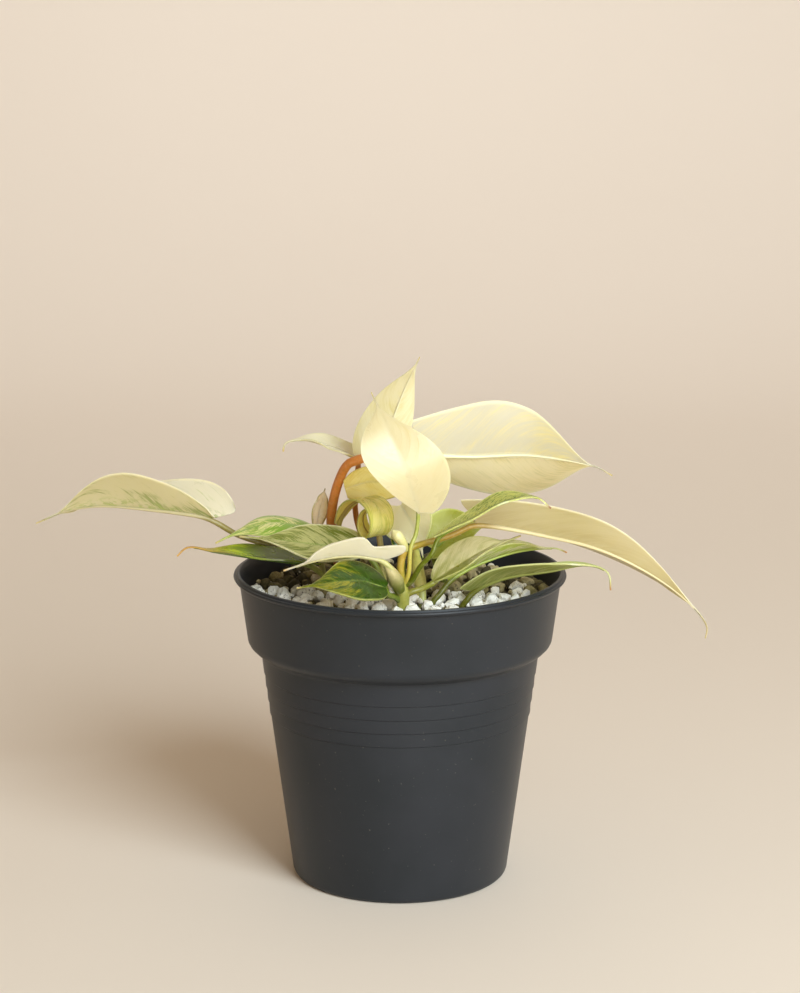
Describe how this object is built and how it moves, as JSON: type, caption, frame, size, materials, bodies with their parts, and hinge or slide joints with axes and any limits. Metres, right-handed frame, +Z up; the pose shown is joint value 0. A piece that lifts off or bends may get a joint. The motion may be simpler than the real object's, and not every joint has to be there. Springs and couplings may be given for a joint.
{
  "type": "potted plant",
  "caption": "Young variegated philodendron with cream, golden and green heart-shaped leaves on arching stalks, in a dark round nursery pot topped with pumice grains.",
  "frame": {"origin": "middle of the pot's underside", "axes": "+Z up along the pot's axis, -Y towards the front of the plant, +X to its right"},
  "size_m": [0.2402, 0.12, 0.1899],
  "materials": {
    "pot": "satin",
    "potting_mix": "matte",
    "pumice": "matte",
    "cream_blade": "satin",
    "golden_blade": "satin",
    "green_blade": "satin",
    "green_stalk": "satin",
    "orange_stalk": "satin",
    "yellow_shoot": "satin"
  },
  "bodies": {
    "root": {"centre_back_blade": "cream_blade", "centre_back_stalk": "green_stalk", "centre_front_blade": "cream_blade", "centre_front_stalk": "green_stalk", "dark_back_blade": "green_blade", "dark_back_stalk": "green_stalk", "drooping_blade": "cream_blade", "drooping_stalk": "orange_stalk", "far_left_blade": "cream_blade", "far_left_stalk": "green_stalk", "folded_small_blade": "cream_blade", "folded_small_stalk": "green_stalk", "front_left_blade": "cream_blade", "front_left_stalk": "green_stalk", "front_low_blade": "green_blade", "front_low_stalk": "green_stalk", "golden_blade": "golden_blade", "golden_stalk": "green_stalk", "high_right_blade": "cream_blade", "high_right_stalk": "green_stalk", "left_high_blade": "cream_blade", "left_high_stalk": "orange_stalk", "left_low_blade": "green_blade", "left_low_stalk": "green_stalk", "left_middle_blade": "green_blade", "left_middle_stalk": "green_stalk", "left_upper_blade": "green_blade", "left_upper_stalk": "green_stalk", "main_stem": "green_stalk", "new_shoot": "yellow_shoot", "pot": "pot", "potting_mix": "potting_mix", "pumice_dressing": "pumice", "right_low_blade": "green_blade", "right_low_stalk": "green_stalk", "right_middle_blade": "cream_blade", "right_middle_stalk": "green_stalk", "rim_right_blade": "green_blade", "rim_right_stalk": "green_stalk", "rolled_blade": "green_blade", "rolled_stalk": "green_stalk", "small_green_blade": "green_blade", "small_green_stalk": "green_stalk", "speckled_blade": "green_blade", "speckled_stalk": "green_stalk", "upper_stem": "yellow_shoot", "upright_blade": "cream_blade", "upright_stalk": "orange_stalk"}
  },
  "joints": []
}
